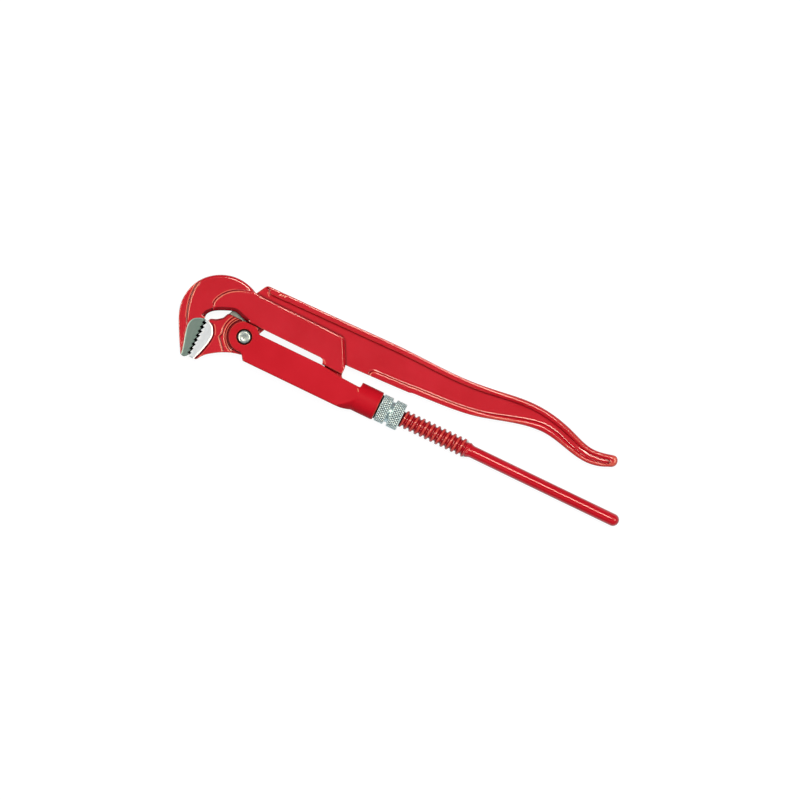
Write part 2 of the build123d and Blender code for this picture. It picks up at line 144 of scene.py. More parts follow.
def open_sky_at(tree, reach_mm, samples):
    """How much of the sky each point sees, from 0 to 1. Only what lies within reach hides it."""
    made = add(tree, "ShaderNodeAmbientOcclusion", {"Distance": reach_mm * MM}, samples=samples)
    return made.outputs["AO"]


def bumps(tree, height, depth_mm, **below):
    """Small bumps on the surface, or on the bumps below."""
    inputs = {"Height": height, "Distance": depth_mm * MM, "Strength": 0.6, **below}
    return add(tree, "ShaderNodeBump", inputs).outputs[0]


def new_piece(name, data):
    """Puts a mesh, a lamp or a camera into the scene."""
    made = bpy.data.objects.new(name, data)
    scene.collection.objects.link(made)
    return made


def new_material(name):
    """A material with its output, its main shader and the object's own coordinates."""
    made = bpy.data.materials.new(name)
    made.use_nodes = True
    tree = made.node_tree
    tree.nodes.clear()
    shader = add(tree, "ShaderNodeBsdfPrincipled")
    add(tree, "ShaderNodeOutputMaterial", {0: shader.outputs[0]})
    where = add(tree, "ShaderNodeTexCoord").outputs["Object"]
    return made, tree, shader, where


print("helpers ready")

# %% [markdown]
# ## The camera and the light
# The wrench lies on a white table, and the camera looks straight down on it from far away with a
# very long lens, so that nothing is foreshortened. The camera is turned so that the wrench lies
# slanted. A very long lens is chosen instead of an orthographic camera because other views can
# then be framed by distance alone.

# %% Camera straight above, turned so that the wrench slants down to the right
SLANT = math.radians(25.78)
FIELD = 694.4 * MM
LENS, SENSOR = 400, 36
camera = new_piece("camera", bpy.data.cameras.new("camera"))
camera.data.lens, camera.data.sensor_width = LENS, SENSOR
camera_height = FIELD * LENS / SENSOR
aim = Vector(place([[145.4, 9.5, 4.0]])[0])
camera.location = aim + Vector((0, 0, camera_height))
camera.rotation_euler = (0, 0, SLANT)
camera.data.clip_end = 60
scene.camera = camera
print("camera", round(camera_height, 2), "m above the table")

# %% [markdown]
# Glossy paint shows its surroundings. They are kept dim here, so that the flat sides show their
# full red, and a few bright soft boxes draw a thin bright line on every rounded edge. All boxes
# are far away, so that they stand in the same direction from every part of the tool. The box
# overhead stands a little to one side of the camera, so that flats don't mirror it, but the
# round rod does. The large fill is seen by the paint's colour only and the rim boxes by its
# gloss only, as with polarised lamps, so that the flats keep a plain level of light. The
# backdrop is white for the camera and near the horizon, and dim overhead.

# %% Dim surroundings and soft boxes
world = bpy.data.worlds.new("studio")
scene.world = world
world.use_nodes = True
tree = world.node_tree
tree.nodes.clear()
direction = add(tree, "ShaderNodeTexCoord").outputs["Generated"]
height = add(tree, "ShaderNodeSeparateXYZ", {0: direction}).outputs["Z"]
seen = add(tree, "ShaderNodeLightPath").outputs["Is Camera Ray"]
level = calc(tree, "MAXIMUM", seen, span(tree, height, 0.03, 0.16, 1.0, 0.1))
background = add(tree, "ShaderNodeBackground", {"Color": (1, 1, 1, 1), "Strength": level})
add(tree, "ShaderNodeOutputWorld", {0: background.outputs[0]})
LAMP_DISTANCE = 10.0


def soft_box(name, azimuth, tilt, wide, tall, glow, tint):
    """A lamp given as it is seen from the wrench: its compass direction from +X, its tilt from
    straight above, its size in degrees and its brightness, where 1 is a white wall."""
    data = bpy.data.lights.new(name, "AREA")
    data.shape = "RECTANGLE"
    data.size = 2 * LAMP_DISTANCE * math.tan(math.radians(wide / 2))
    data.size_y = 2 * LAMP_DISTANCE * math.tan(math.radians(tall / 2))
    data.energy = glow * math.pi * data.size * data.size_y
    data.color = colour(tint)[:3]
    lamp = new_piece(name, data)
    a, t = math.radians(azimuth), math.radians(tilt)
    away = Vector((math.cos(a) * math.sin(t), math.sin(a) * math.sin(t), math.cos(t)))
    lamp.location = aim + away * LAMP_DISTANCE
    lamp.rotation_euler = (-away).to_track_quat("-Z", "Y").to_euler()
    lamp.visible_camera = False
    return lamp


soft_box("box_overhead", 90, 15, 10, 10, 30, "#FFEED8")
soft_box("fill", 110, 7, 70, 70, 2.26, "#F6FAFF").visible_glossy = False
soft_box("rim_left", 200, 38, 60, 12, 16, "#FFE9CE").visible_diffuse = False
soft_box("rim_right", 24, 38, 34, 12, 16, "#FFE9CE").visible_diffuse = False
print("four soft boxes and a dim surround")

# %% [markdown]
# The table is white. What the camera, gloss and glass see of it is its own glow, a little below
# full white, and the light that falls on it adds the rest, so that the wrench keeps a pale
# shadow. Below the closed jaws little sky reaches the table, and its glow fades there as a real
# table's light would, so that the narrow notches between the teeth are as dark as deep holes
# are. When the jaws open the sky comes back, and so does the white.

# %% A white table with a pale shadow
TABLE_HALF, TABLE_GREY, TABLE_GLOW = 6.0, 0.13, 0.92
SHADE_LOW, SHADE_HIGH = place([[-47.0, -35.4, 0], [-27.0, -0.8, 0]])
columns = (-TABLE_HALF, SHADE_LOW[0], SHADE_HIGH[0], TABLE_HALF)
rows = (-TABLE_HALF, SHADE_LOW[1], SHADE_HIGH[1], TABLE_HALF)
floor_mesh = bpy.data.meshes.new("table")
floor_mesh.from_pydata([(x, y, 0) for y in rows for x in columns], [],
                       [(4 * j + i, 4 * j + i + 1, 4 * j + i + 5, 4 * j + i + 4)
                        for j in range(3) for i in range(3)])
floor_mesh.polygons[4].material_index = 1
table = new_piece("table", floor_mesh)


def below_the_jaws(tree, where):
    """1 where the closed jaws hide the sky from the table, fading to 0 at the sides."""
    x, y, _ = add(tree, "ShaderNodeSeparateXYZ", {0: where}).outputs
    middle = (SHADE_LOW[0] + SHADE_HIGH[0]) / 2
    across = calc(tree, "ABSOLUTE", calc(tree, "SUBTRACT", x, middle))
    shade = span(tree, open_sky_at(tree, 30, 16), 0.6, 0.42)
    for fade in (span(tree, across, 9.5 * MM, 3.5 * MM),
                 span(tree, y, SHADE_LOW[1], SHADE_LOW[1] + 1.5 * MM),
                 span(tree, y, SHADE_HIGH[1], SHADE_HIGH[1] - 1.5 * MM)):
        shade = calc(tree, "MULTIPLY", shade, fade)
    return shade


def table_finish(name, shaded):
    """White paint: a grey that takes the light, and a glow that the camera and gloss see."""
    made, tree, shader, where = new_material(name)
    feed(tree, shader, {"Base Color": (*[TABLE_GREY] * 3, 1), "Roughness": 1.0,
                        "Specular IOR Level": 0.0, "Emission Color": (1, 1, 1, 1)})
    ray = add(tree, "ShaderNodeLightPath").outputs
    seen = calc(tree, "MAXIMUM", ray["Is Camera Ray"], ray["Is Glossy Ray"])
    seen = calc(tree, "MAXIMUM", seen, ray["Is Transmission Ray"])
    glow = calc(tree, "MULTIPLY", seen, TABLE_GLOW)
    if shaded:
        lit = calc(tree, "SUBTRACT", 1.0, below_the_jaws(tree, where))
        glow = calc(tree, "MULTIPLY", glow, lit)
        grey = calc(tree, "MULTIPLY", lit, TABLE_GREY)
        greys = add(tree, "ShaderNodeCombineXYZ", {0: grey, 1: grey, 2: grey})
        feed(tree, shader, {"Base Color": greys.outputs[0]})
    feed(tree, shader, {"Emission Strength": glow})
    return made


floor_mesh.materials.append(table_finish("white_lit_table", False))
floor_mesh.materials.append(table_finish("white_table_below_the_jaws", True))
print("table ready")

# %% [markdown]
# ## The finishes
# The forgings are dipped or sprayed in red enamel. Enamel is a glassy coat over the steel: it
# is smooth, shines at the edges, and shows the slight waves of the forging below and a fine
# orange peel of its own. So on the flats the colour hardly varies, and the bump does the work.
# Sharp edges are painted pale, as painted highlights, and corners and creases are painted dark, as
# painted shade. One function makes all the enamels. The two jaws have ground steel in the same
# forging, so theirs also hold that steel, up to a line in the mesh.

# %% Red enamel on forged steel
RED_LOW, RED_HIGH, RED_SPECK = "#BA0F1E", "#C31726", "#CC3030"
# The first two colours are a painted highlight for edges and painted shade for corners.
PAINTED_HIGHLIGHT, PAINTED_SHADE, GREY_GRAIN, BARE_NECK = "#F08A6C", "#4A060C", "#6E7A76", "#6A736C"


def painted_corner_shade(tree, most):
    """Painted shade in corners: rises to most where what lies within 4 mm hides more than half of
    the sky.
    """
    return span(tree, open_sky_at(tree, 4, 12), 0.8, 0.45, 0, most)


def enamel(name, bare_steel, gloss, shine):
    """Red enamel. A number kept on the points paints a pale highlight where it is above 0 and dark
    shade where it is below, and painted shade also darkens it where little sky reaches. With bare
    steel, given as its colour, the colour of a painted highlight along its rim and its roughness,
    the paint stops where the attribute ground falls below 0."""
    made, tree, shader, where = new_material(name)
    cloud = noise(tree, where, 34, 2.0)
    speck = noise(tree, where, 2.4, 3.0, 0.6)
    edge = attribute(tree, "edge")
    paint = mix(tree, span(tree, cloud, 0.3, 0.7), RED_LOW, RED_HIGH)
    paint = mix(tree, span(tree, speck, 0.62, 0.8, 0, 0.3), paint, RED_SPECK)
    uneven = span(tree, speck, 0.25, 0.75, 0.55, 1.0)
    # Painted highlight: pale paint where the surface bends outward, in uneven specks.
    highlight_share = calc(tree, "MULTIPLY", span(tree, edge, 0.35, 1.1, 0, 0.9), uneven)
    paint = mix(tree, highlight_share, paint, PAINTED_HIGHLIGHT)
    # Painted shade: dark paint where the surface bends inward and where little sky reaches.
    corner = calc(tree, "MAXIMUM", span(tree, edge, -0.15, -0.9, 0, 0.92), painted_corner_shade(tree, 0.95))
    paint = mix(tree, corner, paint, PAINTED_SHADE)
    waves = bumps(tree, noise(tree, where, 8, 1.0), 0.05)
    peel = bumps(tree, noise(tree, where, 1.5, 2.0), 0.01, Normal=waves)
    feed(tree, shader, {"IOR": 1.45, "Specular IOR Level": shine, "Normal": peel})
    if bare_steel is None:
        rough = span(tree, cloud, 0.3, 0.7, gloss, gloss + 0.02)
        feed(tree, shader, {"Base Color": paint, "Roughness": rough})
        return made
    face, rim, metal_rough = bare_steel
    inside = attribute(tree, "ground")
    bare = span(tree, inside, 0.15, -0.15)
    streak = add(tree, "ShaderNodeMapping", {"Vector": where, "Scale": (1.0, 0.12, 1.0)})
    grain = noise(tree, streak.outputs[0], 0.6, 3.0, 0.6)
    # Painted highlight: the rim colour near the edge of the bare pad.
    metal = mix(tree, span(tree, inside, -1.3, -0.4), face, rim)
    metal = mix(tree, span(tree, grain, 0.3, 0.7, 0, 0.25), metal, GREY_GRAIN)
    metal = mix(tree, attribute(tree, "neck"), metal, BARE_NECK)
    feed(tree, shader, {"Base Color": mix(tree, bare, paint, metal),
                        "Metallic": span(tree, bare, 0, 1, 0, 0.15),
                        "Roughness": span(tree, bare, 0, 1, gloss + 0.02, metal_rough)})
    return made


# Satin: the housing is sprayed thin, so it has no bright lines. The others are dipped and shine.
red = enamel("satin_red_enamel_on_forged_steel", None, 0.42, 0.05)
rod_red = enamel("red_enamel_on_turned_steel", None, 0.1, 0.5)
# Hardened steel is grey-green from its quench, and ground steel is nearly white.
# The second colour of each pad is a painted highlight along its rim.
hook_finish = enamel("gloss_red_enamel_with_hardened_steel_pad", ("#536D64", "#9ABBAD", 0.35),
                     0.1, 0.7)
lever_finish = enamel("gloss_red_enamel_with_ground_steel_pad", ("#C4CACF", "#F2F8F8", 0.35),
                      0.1, 0.7)
print("enamels ready")

# %% [markdown]
# The jaw blocks, the nut and the pins are bare or zinc plated steel. Ground steel has fine
# straight scratches that widen its shine across them, and zinc plating is pale and a little
# cloudy. Metals keep the default index of refraction; their colour comes from the base colour.

# %% Steels
# Colours of painted shade, in hollows and in corners.
HOLLOW_SHADE_COLOUR, CORNER_SHADE_COLOUR = "#16201E", "#0E1413"


def steel(name, low, high, metallic, rough, grain_mm, stretch=(1, 1, 1), bump_mm=0.01,
          corner_shade=0.95):
    """A bare or plated steel with fine grain between two colours. Painted shade darkens it where a
    number kept on its points is high, and, by a given share, where little sky reaches."""
    made, tree, shader, where = new_material(name)
    along = add(tree, "ShaderNodeMapping", {"Vector": where, "Scale": stretch}).outputs[0]
    grain = noise(tree, along, grain_mm, 4.0, 0.6)
    cloud = noise(tree, where, 5.0, 2.0)
    tint = mix(tree, span(tree, grain, 0.3, 0.7), low, high)
    pressed = span(tree, attribute(tree, "pressed"), 0.45, 0.85, 0, 0.97)
    # Painted shade in hollows and in corners.
    tint = mix(tree, pressed, tint, HOLLOW_SHADE_COLOUR)
    tint = mix(tree, painted_corner_shade(tree, corner_shade), tint, CORNER_SHADE_COLOUR)
    feed(tree, shader, {"Base Color": tint, "Metallic": metallic,
                        "Normal": bumps(tree, grain, bump_mm),
                        "Roughness": span(tree, cloud, 0.3, 0.7, rough - 0.05, rough + 0.08)})
    return made


# Zinc plating is pale and blue-green, and its tiny crystals scatter light, so it is part metal.
zinc = steel("zinc_plated_steel", "#C2DEDF", "#E8FAFA", 0.25, 0.3, 0.5, corner_shade=0.5)
polished = steel("polished_pin_steel", "#8C9A97", "#B9C4C1", 0.5, 0.26, 0.8, bump_mm=0.004)
# The jaws are ground across, and their scratches make them dull.
hard_jaw = steel("hardened_jaw_steel", "#536D64", "#5F776F", 0.15, 0.35, 0.6, (1, 0.12, 1))
ground_jaw = steel("ground_jaw_steel", "#C0C6CB", "#CDD3D6", 0.15, 0.35, 0.6, (1, 0.12, 1))
# A lathe tool leaves fine rings round the axis, and a clean bright cut.
turned = steel("turned_bright_steel", "#9CB6BA", "#BCD2D6", 0.7, 0.3, 0.6, (1, 0.1, 0.1),
               0.002, 0.0)
# A near-black steel for the washer, which makes the band between the sleeve and the nut dark.
black = steel("near_black_steel", "#0C0D0D", "#1A1C1C", 0.6, 0.45, 0.6)
print("steels ready")

# %% [markdown]
# ## The three forgings
# A drop forging has no sharp edge: the dies need draft and radii, and the paint rounds it a
# little more. One way to get this is to bevel each edge, but the steps of a forging meet in
# places where bevels collide. Here each solid is rebuilt as an even grid of half a millimetre
# and then rubbed smooth, which rounds the edges and fills the inner corners at once.

# %% Rebuild a solid as a fine grid
GRID = 0.5


@contextmanager
def opened(mesh):
    """Opens a mesh for edits, and closes it after them."""
    work = bmesh.new()
    work.from_mesh(mesh)
    yield work
    work.to_mesh(mesh)
    work.free()


def copy_of(node):
    """A clean copy of a solid's mesh, its corners merged."""
    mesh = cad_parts[node].data.copy()
    with opened(mesh) as work:
        bmesh.ops.remove_doubles(work, verts=work.verts, dist=1e-7)
    return mesh


def finished(piece):
    """The piece with its modifiers worked in, as a plain mesh."""
    graph = bpy.context.evaluated_depsgraph_get()
    mesh = bpy.data.meshes.new_from_object(piece.evaluated_get(graph))
    piece.modifiers.clear()
    piece.data = mesh
    return mesh


def regrid(piece):
    """Rebuilds a piece as an even grid of squares, and gives its points."""
    remesh = piece.modifiers.new("grid", "REMESH")
    remesh.mode, remesh.voxel_size = "VOXEL", GRID * MM
    mesh = finished(piece)
    print(piece.name, len(mesh.vertices), "points")
    return points_of(mesh)


print("grid of", GRID, "mm")

# %% [markdown]
# The fine grids are shaped by moving all their points at once, as rows of numbers. Rubbing moves
# each towards the middle of its neighbours, which takes off what is sharp.

# %% Read, set and rub the points of a mesh
def rows_of(mesh, name):
    """The places ("co") or directions ("normal") of all points, as the mesh holds them."""
    flat = np.empty(len(mesh.vertices) * 3, np.float32)
    mesh.vertices.foreach_get(name, flat)
    return flat.reshape(-1, 3)


def points_of(mesh):
    return from_pivot(rows_of(mesh, "co"))


def set_points(mesh, points):
    mesh.vertices.foreach_set("co", place(points).astype(np.float32).ravel())
    mesh.update()


def neighbours_of(mesh):
    """Both ends of every edge, and how many neighbours each point has."""
    pairs = np.empty(len(mesh.edges) * 2, np.int32)
    mesh.edges.foreach_get("vertices", pairs)
    a, b = pairs.reshape(-1, 2).T
    count = len(mesh.vertices)
    return a, b, np.bincount(a, minlength=count) + np.bincount(b, minlength=count)


def sum_around(a, b, values):
    """The sum of the neighbours' values, for each point."""
    return np.bincount(a, values[b], len(values)) + np.bincount(b, values[a], len(values))


def middle_around(a, b, number, points):
    """The middle of the neighbours, for each point."""
    total = np.stack([sum_around(a, b, points[:, k]) for k in range(3)], axis=1)
    return total / number[:, None]


def rub(mesh, points, passes, share=None):
    """Moves each point half way to the middle of its neighbours, as often as asked."""
    around = neighbours_of(mesh)
    weight = 0.5 if share is None else 0.5 * share[:, None]
    for _ in range(passes):
        points = points + weight * (middle_around(*around, points) - points)
    return points


print("rubbing ready")

# %% [markdown]
# Some edges of the forgings are rounder than the rest, such as the rims of the handle and the
# throat of the hook. The next helpers round those: they measure how far each point of the broad
# faces lies from a line, and lower it on a quarter circle of the chosen radius.

# %% Lines seen from the side, and distances to them
def distance_to(line, points):
    """Distance of each point, seen from the side, to a line through the given places."""
    best = np.full(len(points), 1e9)
    flat = points[:, :2]
    for start, end in zip(np.asarray(line[:-1], float), np.asarray(line[1:], float)):
        run = end - start
        along = np.clip(((flat - start) @ run) / (run @ run), 0, 1)
        best = np.minimum(best, np.linalg.norm(flat - start - along[:, None] * run, axis=1))
    return best


def curve(points, steps=8):
    """A smooth line through the given places."""
    given = np.asarray(points, float)
    ends = np.vstack([2 * given[0] - given[1], given, 2 * given[-1] - given[-2]])
    line = []
    for a, b, c, d in zip(ends[:-3], ends[1:-2], ends[2:-1], ends[3:]):
        for t in np.arange(steps) / steps:
            line.append(0.5 * (2 * b + (c - a) * t + (2 * a - 5 * b + 4 * c - d) * t * t
                               + (3 * b - a - 3 * c + d) * t ** 3))
    return np.array(line + [given[-1]])


def outline_distance(points, where):
    """Distance of each point to the outline that the chosen points show at mid thickness."""
    middle = np.where((np.abs(points[:, 2]) < 0.6 * GRID) & where)[0]
    tree = KDTree(len(middle))
    for slot, i in enumerate(middle):
        tree.insert((points[i, 0], points[i, 1], 0), slot)
    tree.balance()
    return np.array([tree.find((p[0], p[1], 0))[2] for p in points])


def inside_of(line, points):
    """True for the points that lie inside a closed line, seen from the side."""
    crossings = np.zeros(len(points), int)
    x, y = points[:, 0], points[:, 1]
    closed = np.vstack([line, line[:1]])
    for (x0, y0), (x1, y1) in zip(closed[:-1], closed[1:]):
        spans = (y0 > y) != (y1 > y)
        if y0 != y1:
            crossings += spans & (x < x0 + (y - y0) / (y1 - y0) * (x1 - x0))
    return crossings % 2 == 1


def beyond_line(line, loop, points):
    """Distance to a line, below 0 for points in the loop that the line is a part of."""
    return np.where(inside_of(loop, points), -1, 1) * distance_to(line, points)


print("lines ready")

# %% [markdown]
# The steps of a forging, and the roundings of its rims, are heights that follow such a distance.

# %% Heights that follow a distance
def drop(distance, radius):
    """How far a rim of this radius lies below its flat, at a distance from the outline."""
    inside = np.clip(radius - distance, 0, radius)
    return radius - np.sqrt(np.maximum(radius ** 2 - inside ** 2, 0))


def bell(distance, width):
    """1 at distance 0, fading evenly to both sides. At one width about a third is left."""
    return np.exp(-(distance / width) ** 2)


def ramp(values, low, high):
    """Smooth step from 0 at low to 1 at high."""
    t = np.clip((values - low) / (high - low), 0, 1)
    return t * t * (3 - 2 * t)


def lower_to(points, height, chosen):
    """Lowers the chosen points to at most this height on both sides."""
    limit = np.where(chosen, height, 1e9)
    points[:, 2] = np.sign(points[:, 2]) * np.minimum(np.abs(points[:, 2]), limit)


def set_height(points, height, chosen):
    """Puts the chosen points at this height, each on its own side."""
    points[chosen, 2] = np.sign(points[chosen, 2]) * height[chosen]


print("heights ready")

# %% [markdown]
# The painted highlights and painted shade follow where the shape bends. A point that stands out
# from the middle of its neighbours lies on an edge, and one that lies below it is in a corner. Its
# points keep this.

# %% Edges and corners for the painted highlights and shade, and the dress of a piece
def edge_of(mesh, points):
    """How sharply each point bends, in 1/mm: above 0 on outer edges, below 0 in inner corners."""
    set_points(mesh, points)
    a, b, number = neighbours_of(mesh)
    sunk = middle_around(a, b, number, points) - points
    bend = -np.sum(sunk * rows_of(mesh, "normal"), axis=1) / (GRID / 2) ** 2
    for _ in range(2):
        bend = 0.4 * bend + 0.6 * sum_around(a, b, bend) / number
    return bend


def painted_streak(start, end, points, height):
    """A short painted highlight streak, on what lies further than height from the middle."""
    return 1.4 * bell(distance_to([start, end], points), 0.45) * (np.abs(points[:, 2]) > height)


def dress(piece, finish, body, *nodes, smooth=True, **numbers):
    """Gives a finished piece its material, its body, the solids that it stands for, and the
    numbers that its points keep for the finish."""
    mesh = piece.data
    for name, values in numbers.items():
        layer = mesh.attributes.new(name, "FLOAT", "POINT")
        layer.data.foreach_set("value", np.asarray(values, np.float32))
    if smooth:
        mesh.polygons.foreach_set("use_smooth", [True] * len(mesh.polygons))
    mesh.materials.clear()
    mesh.materials.append(finish)
    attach(piece, body)
    if nodes:
        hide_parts(*nodes)
    mesh.calc_loop_triangles()
    print(piece.name, len(mesh.loop_triangles), "triangles")


print("paint helpers ready")

# %% [markdown]
# ### The hook jaw
# The hook is the largest forging. Its head has two raised cheeks that clasp the lever, a lower
# band along its back, and a throat whose edge is well rounded so that it doesn't cut the pipe's
# coating. The block that carries the teeth is ground bare on its sides. The teeth are cut
# crisply, which a half millimetre grid can't show, so the grid is cut back flat behind them
# and a row of teeth is added as a piece of its own.

# %% The hook's forging: the line of the bare pad, and the band along the back
HOOK_TIPS, HEAD, CHEEK, BAND = -37.1, 7.6, 8.7, 6.4
hook = new_piece("hook_forging", copy_of("hook_jaw"))
p = regrid(hook)
x, y, z = p.T
pad = curve([(-36, -0.4), (-42, -1.8), (-47.2, -5.4), (-48.9, -11.5), (-47.2, -20.5),
             (-44.6, -30), (-43.1, -37.0)])
ground = beyond_line(pad, np.vstack([pad, [(-42.5, -40), (-30, -40), (-30, -0.4)]]), p)
crease = curve([(-50.5, 40), (-53.5, 33), (-56.0, 25), (-56.6, 19), (-56.3, 11), (-54.8, 3.5),
                (-52.6, -3), (-50.6, -9)])
outer_side = np.vstack([crease, [(-49.2, -12), (-47.6, -20.5), (-45.0, -30), (-43.4, -38),
                                 (-80, -38), (-80, 40)]])
beyond = -beyond_line(crease, outer_side, p)
outline = outline_distance(p, x < -26)
band = ramp(beyond, -0.3, 0.5)
groove = bell(beyond - 0.9, 0.55) * ramp(y, -14, -6)
height = np.minimum(HEAD - (HEAD - BAND) * band - 0.45 * groove, HEAD - drop(outline, 2.4))
head_side = (np.abs(z) > 5.1) & (x < -43) & (ground > 0.6) & (y < 38)
set_height(p, height, head_side)
p = rub(hook.data, p, 2)
print("band", round(HEAD - BAND, 1), "mm below the head's side")

# %% [markdown]
# The throat is rounded most of all. Below it, all that the solid has of its teeth is pushed
# back to one flat seat, on which the crisp teeth are set later.

# %% The hook's forging: cheeks, throat and the seat of the teeth
throat = curve([(-38.6, 1.4), (-38.4, 2.4), (-37.2, 5.4), (-32, 10.0), (-24, 13.9),
                (-16.5, 16.2), (-9, 14.3), (-4, 13.1)])
cheek_back = curve([(-34.4, 4), (-34.4, 8), (-36.2, 17), (-31, 26.8), (-22, 33.7),
                    (-11, 37.9), (-2, 46)])
cheek_loop = np.vstack([cheek_back, [(110, 46), (110, 0), (-34.4, 0)]])
HOOK_SEAT = HOOK_TIPS - 2.1


def by_throat(points):
    return (points[:, 0] < 2) & (points[:, 1] > 1.2) & (points[:, 1] < 24)


in_cheek = np.where(inside_of(cheek_loop, p), 1, -1)
plateau = np.where(in_cheek > 0, CHEEK, HEAD)
lower_to(p, plateau - drop(distance_to(throat, p), 3.6), by_throat(p))
p = rub(hook.data, p, 2)
teeth_zone = (p[:, 1] < -0.5) & (p[:, 0] > HOOK_SEAT) & (p[:, 0] < -20)
p[teeth_zone, 0] = HOOK_SEAT
print("seat of the teeth at x", round(HOOK_SEAT, 1), "mm")

# %% [markdown]
# A painted highlight runs along every lip, and painted shade lies in the grooves between them. The
# bend of the surface gives most of this. The lips of the cheeks and of the band are too fine for
# the grid to hold, so they are added as bell curves across their lines.

# %% The hook's forging: painted highlights and painted shade
x, y, z = p.T
edges = edge_of(hook.data, p)
# Painted shade: a dark band along the rounded edge of the throat.
edges -= np.where(by_throat(p), 1.1 * ramp(distance_to(throat, p), 3.9, 2.4), 0)
# Painted highlights on both lips of each cheek's step, with painted shade between them.
cheek = in_cheek * distance_to(cheek_loop, p)
lips = bell(cheek - 0.2, 0.4) + bell(cheek + 1.75, 0.4) - bell(cheek + 0.8, 0.4)
edges += 1.1 * lips * ramp(y, 13, 15) * ramp(y, 37, 33) * ramp(x, -12, -18)
# Less painted highlight along the top edge of the shank.
shank_top = (y > 35) & (x > -12) & (x < 77)
edges = np.where(shank_top, np.minimum(edges, 0.5), edges)
# Painted highlights on both lips of the band's groove, and painted shade in the groove.
lips = bell(beyond + 0.25, 0.45) + bell(beyond - 1.95, 0.45)
edges += (1.3 * lips - 1.2 * groove) * ramp(y, -9, -5) * ramp(y, 27, 22)
# A painted highlight streak on the foot.
edges += painted_streak((71.2, 12.2), (73.4, 9.8), p, 6)
edges[teeth_zone | (ground < 0.4)] = 0
dress(hook, hook_finish, "hook_body", "hook_jaw", ground=ground, edge=edges)

# %% [markdown]
# ### The lever
# The lever's lower jaw, its boss with three low rings, and its handle are one forging. The
# handle is an I section: two rounded flanges with a thinner web between, which saves weight
# where the bending stress is low. Its end turns up so that the hand doesn't slip off. The
# handle is even along its length, so its grid is stretched there, which saves triangles.

# %% The lever's forging: rebuild with a stretched grid along the handle
BOSS, FLANGE, WEB = 6.4, 6.0, 2.8
LEVER_TIPS = HOOK_TIPS + 0.35
HANDLE_FROM, SQUEEZE = 20.0, 0.48
lever = new_piece("lever_forging", copy_of("lever"))
p = points_of(lever.data)
past = p[:, 0] - HANDLE_FROM
p[:, 0] = np.where(past > 0, HANDLE_FROM + past * SQUEEZE, p[:, 0])
set_points(lever.data, p)
p = regrid(lever)
past = p[:, 0] - HANDLE_FROM
p[:, 0] = np.where(past > 0, HANDLE_FROM + past / SQUEEZE, p[:, 0])
set_points(lever.data, p)
print("handle stretched back, to x", round(p[:, 0].max(), 1), "mm")

# %% [markdown]
# The rims of the two flanges grow rounder towards the hand. Three small marks stand on the
# upper flange, where the dies left them.

# %% The lever's forging: rims, flanges, web and marks
MARKS = ((12.5, 46.6), (14.6, 46.7), (17.0, 46.9))
upper = curve([(6.5, 43.4), (40, 44.2), (90, 45.1), (140, 45.9), (195, 46.1), (222, 49.4),
               (249, 52.2), (271, 50.4), (295, 43.9), (312, 39.6), (331, 41.8)])
lower = curve([(331.6, 37.9), (314, 35.0), (297, 37.9), (271, 44.3), (252, 41.6), (222, 32.6),
               (190, 27.1), (150, 24.5), (117, 22.4), (113.2, 21.2), (111.6, 18.0)])


def at_mark(points, x, y):
    """1 on a mark, fading within a millimetre."""
    return np.exp(-((points[:, 0] - x) ** 2 / 0.35 + (points[:, 1] - y) ** 2 / 0.9))


x, y, z = p.T
to_pocket = np.minimum(distance_to(upper, p), distance_to(lower, p))
outline = outline_distance(p, x > -8)
top_side = (np.abs(z) > 2.9) & ((x > 92) | ((y > 44) & (x > 2)))
rim = 0.8 + 1.7 * ramp(x, 185, 240)
nearest = np.where(x > 4, np.minimum(outline, to_pocket + 0.3), outline)
lower_to(p, FLANGE - drop(nearest, rim), top_side)
web = (np.abs(z) < WEB + 0.2) & (np.abs(z) > WEB - 0.3) & (x > 120)
set_height(p, WEB + 1.3 * ramp(x, 262, 330), web)
p = rub(lever.data, p, 4)
p = rub(lever.data, p, 6, ramp(p[:, 0], 225, 260))
for mark in MARKS:
    p[:, 2] += np.sign(p[:, 2]) * 0.8 * at_mark(p, *mark) * (np.abs(p[:, 2]) > 4)
print("rims of", rim.min(), "to", rim.max(), "mm")

# %% [markdown]
# The boss steps down to the jaw in three rings. The jaw's face is ground bare up to a curved
# line, and so is the neck that swings between the ears of the housing.

# %% The lever's forging: rings of the boss and seat of the teeth
# The seat lies this deep behind the tips at the row's top, and rises by 1 mm in TAPER mm.
LEVER_ROW, SEAT_DEPTH, TAPER = -3.1, 2.5, 29.19
x, y, z = p.T
radius = np.hypot(x, y)
ring = [(20.2 * math.cos(math.radians(t)), 20.2 * math.sin(math.radians(t)))
        for t in range(130, 199, 4)]
shoulder = np.array(ring + [(-20.5, -9.3), (-8, -23.5)])
third = beyond_line(shoulder, np.vstack([shoulder, [(20, -30), (20, 20)]]), p)
height = BOSS + 0.8 * (ramp(radius, 15.1, 15.9) + ramp(radius, 17.1, 17.9)
                       + ramp(third, -0.4, 0.4))
outline_jaw = outline_distance(p, (x < -6) & (y < 12.2))
near_boss = (np.abs(z) > 5.2) & (radius > 14.3) & (radius < 26) & (x < -4) & (y < 12)
set_height(p, height - drop(outline_jaw, 1.1), near_boss)
lever_pad = curve([(-34.3, -0.9), (-33.6, -1.0), (-28.6, -4.5), (-25.7, -11.5), (-27.0, -22),
                   (-31.6, -37)])
ground = beyond_line(lever_pad, np.vstack([lever_pad, [(-45, -40), (-45, -0.9)]]), p)
p = rub(lever.data, p, 1)
seat = LEVER_TIPS + (SEAT_DEPTH - (LEVER_ROW - p[:, 1]) / TAPER) + 0.2
teeth_zone = (p[:, 1] < -0.4) & (p[:, 0] < seat)
p[teeth_zone, 0] = seat[teeth_zone]
print("seat of the teeth from x", round(seat[teeth_zone].max(), 2), "mm")
